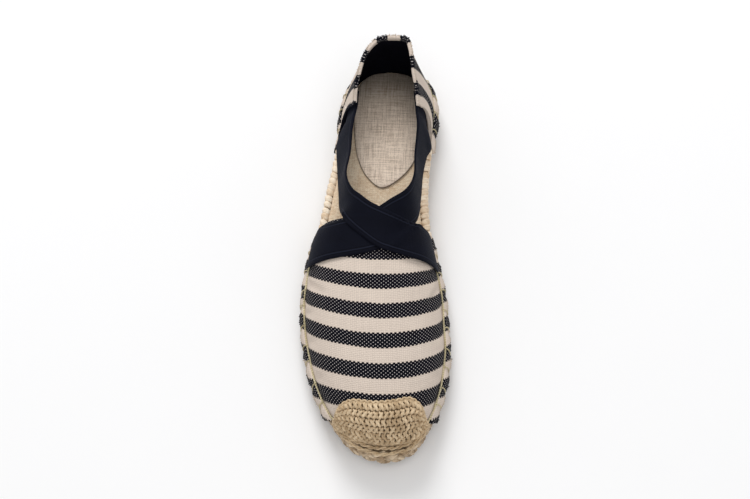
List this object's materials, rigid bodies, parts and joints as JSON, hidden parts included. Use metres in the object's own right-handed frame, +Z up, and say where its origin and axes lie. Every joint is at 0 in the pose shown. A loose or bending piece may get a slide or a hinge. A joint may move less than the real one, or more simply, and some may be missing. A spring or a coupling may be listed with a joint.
{
  "type": "espadrille",
  "caption": "Slip-on espadrille for the right foot, with a striped canvas vamp and heel, crossed elastic bands, a crocheted toe cap and a braided jute sole.",
  "frame": {"origin": "middle of the bounding box, on the floor under the sole", "axes": "toe towards -Y, heel towards +Y, inner (big toe) side towards +X, +Z up"},
  "size_m": [0.0894, 0.2534, 0.0671],
  "materials": {
    "jute_braid": "braided raw jute rope, matte, dry fibres",
    "jute_insole": "flat woven jute board, matte",
    "linen_pad": "fine plain-weave linen, matte",
    "striped_canvas": "cotton canvas woven in stripes, 8 mm of cream and 9 mm of navy dotted with cream",
    "jute_crochet": "tight rows of crocheted jute cord",
    "navy_elastic": "smooth ribbed elastic with a soft sheen",
    "navy_lining": "napped black-navy lining cloth",
    "cotton_yarn": "twisted waxed cotton yarn"
  },
  "bodies": {
    "root": {"sole": "jute_braid", "insole": "jute_insole", "heel_pad": "linen_pad", "upper_vamp": "striped_canvas", "toe_cap": "jute_crochet", "upper_quarter": "striped_canvas", "upper_straps": "navy_elastic"}
  },
  "joints": []
}
